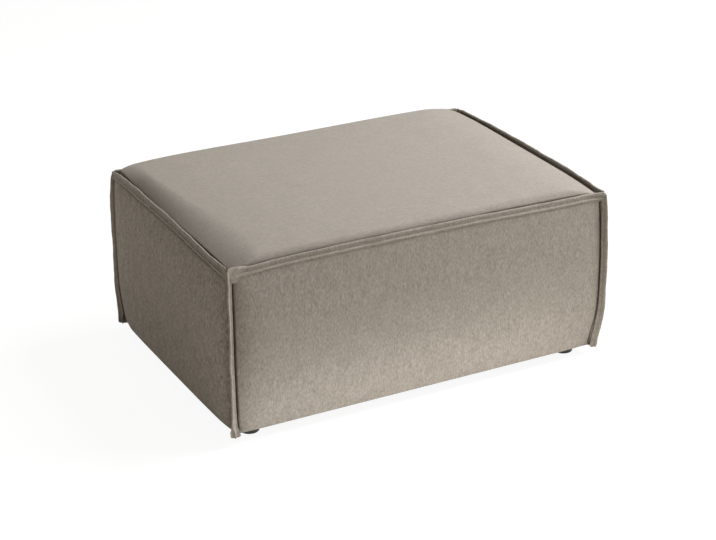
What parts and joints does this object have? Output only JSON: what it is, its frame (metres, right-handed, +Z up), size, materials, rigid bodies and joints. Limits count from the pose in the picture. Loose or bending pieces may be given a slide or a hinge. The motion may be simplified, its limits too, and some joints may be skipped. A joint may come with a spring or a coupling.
{
  "type": "ottoman coffee table",
  "caption": "Rectangular upholstered ottoman coffee table with a crowned foam seat, raised stitched flanges along its seams and low round feet.",
  "frame": {"origin": "on the floor, under the middle of the table", "axes": "+X along the long side, +Y to the back, +Z up; the front faces -Y"},
  "size_m": [1.0034, 0.7174, 0.4542],
  "materials": {
    "cover_fabric": "heathered woven upholstery",
    "dust_fabric": "non-woven black cambric",
    "foam": "cut polyurethane foam",
    "wadding": "polyester fibre",
    "felt": "needled felt",
    "timber": "planed pine",
    "hardboard": "smooth hardboard",
    "spring_steel": "oil-tempered wire",
    "fastener_steel": "zinc plated",
    "foot_plastic": "moulded, satin dark brown"
  },
  "bodies": {
    "root": {"back_board": "hardboard", "back_cover": "cover_fabric", "back_flange": "cover_fabric", "back_foam": "foam", "back_left_block": "timber", "back_left_foot": "foot_plastic", "back_left_post": "timber", "back_right_block": "timber", "back_right_foot": "foot_plastic", "back_right_post": "timber", "back_upright": "timber", "bottom_back_rail": "timber", "bottom_cross_rail": "timber", "bottom_front_rail": "timber", "bottom_left_rail": "timber", "bottom_right_rail": "timber", "dust_cover": "dust_fabric", "foot_screws": "fastener_steel", "frame_screws": "fastener_steel", "front_board": "hardboard", "front_cover": "cover_fabric", "front_flange": "cover_fabric", "front_foam": "foam", "front_left_block": "timber", "front_left_foot": "foot_plastic", "front_left_post": "timber", "front_right_block": "timber", "front_right_foot": "foot_plastic", "front_right_post": "timber", "front_upright": "timber", "left_board": "hardboard", "left_cover": "cover_fabric", "left_flange": "cover_fabric", "left_foam": "foam", "left_upright": "timber", "right_board": "hardboard", "right_cover": "cover_fabric", "right_flange": "cover_fabric", "right_foam": "foam", "right_upright": "timber", "seat_foam": "foam", "seat_wadding": "wadding", "spring_clips": "fastener_steel", "spring_felt": "felt", "spring_stretcher": "timber", "tie_wires": "spring_steel", "top_back_rail": "timber", "top_cover": "cover_fabric", "top_front_rail": "timber", "top_left_rail": "timber", "top_right_rail": "timber", "wave_spring_1": "spring_steel", "wave_spring_2": "spring_steel", "wave_spring_3": "spring_steel", "wave_spring_4": "spring_steel", "wave_spring_5": "spring_steel"}
  },
  "joints": []
}
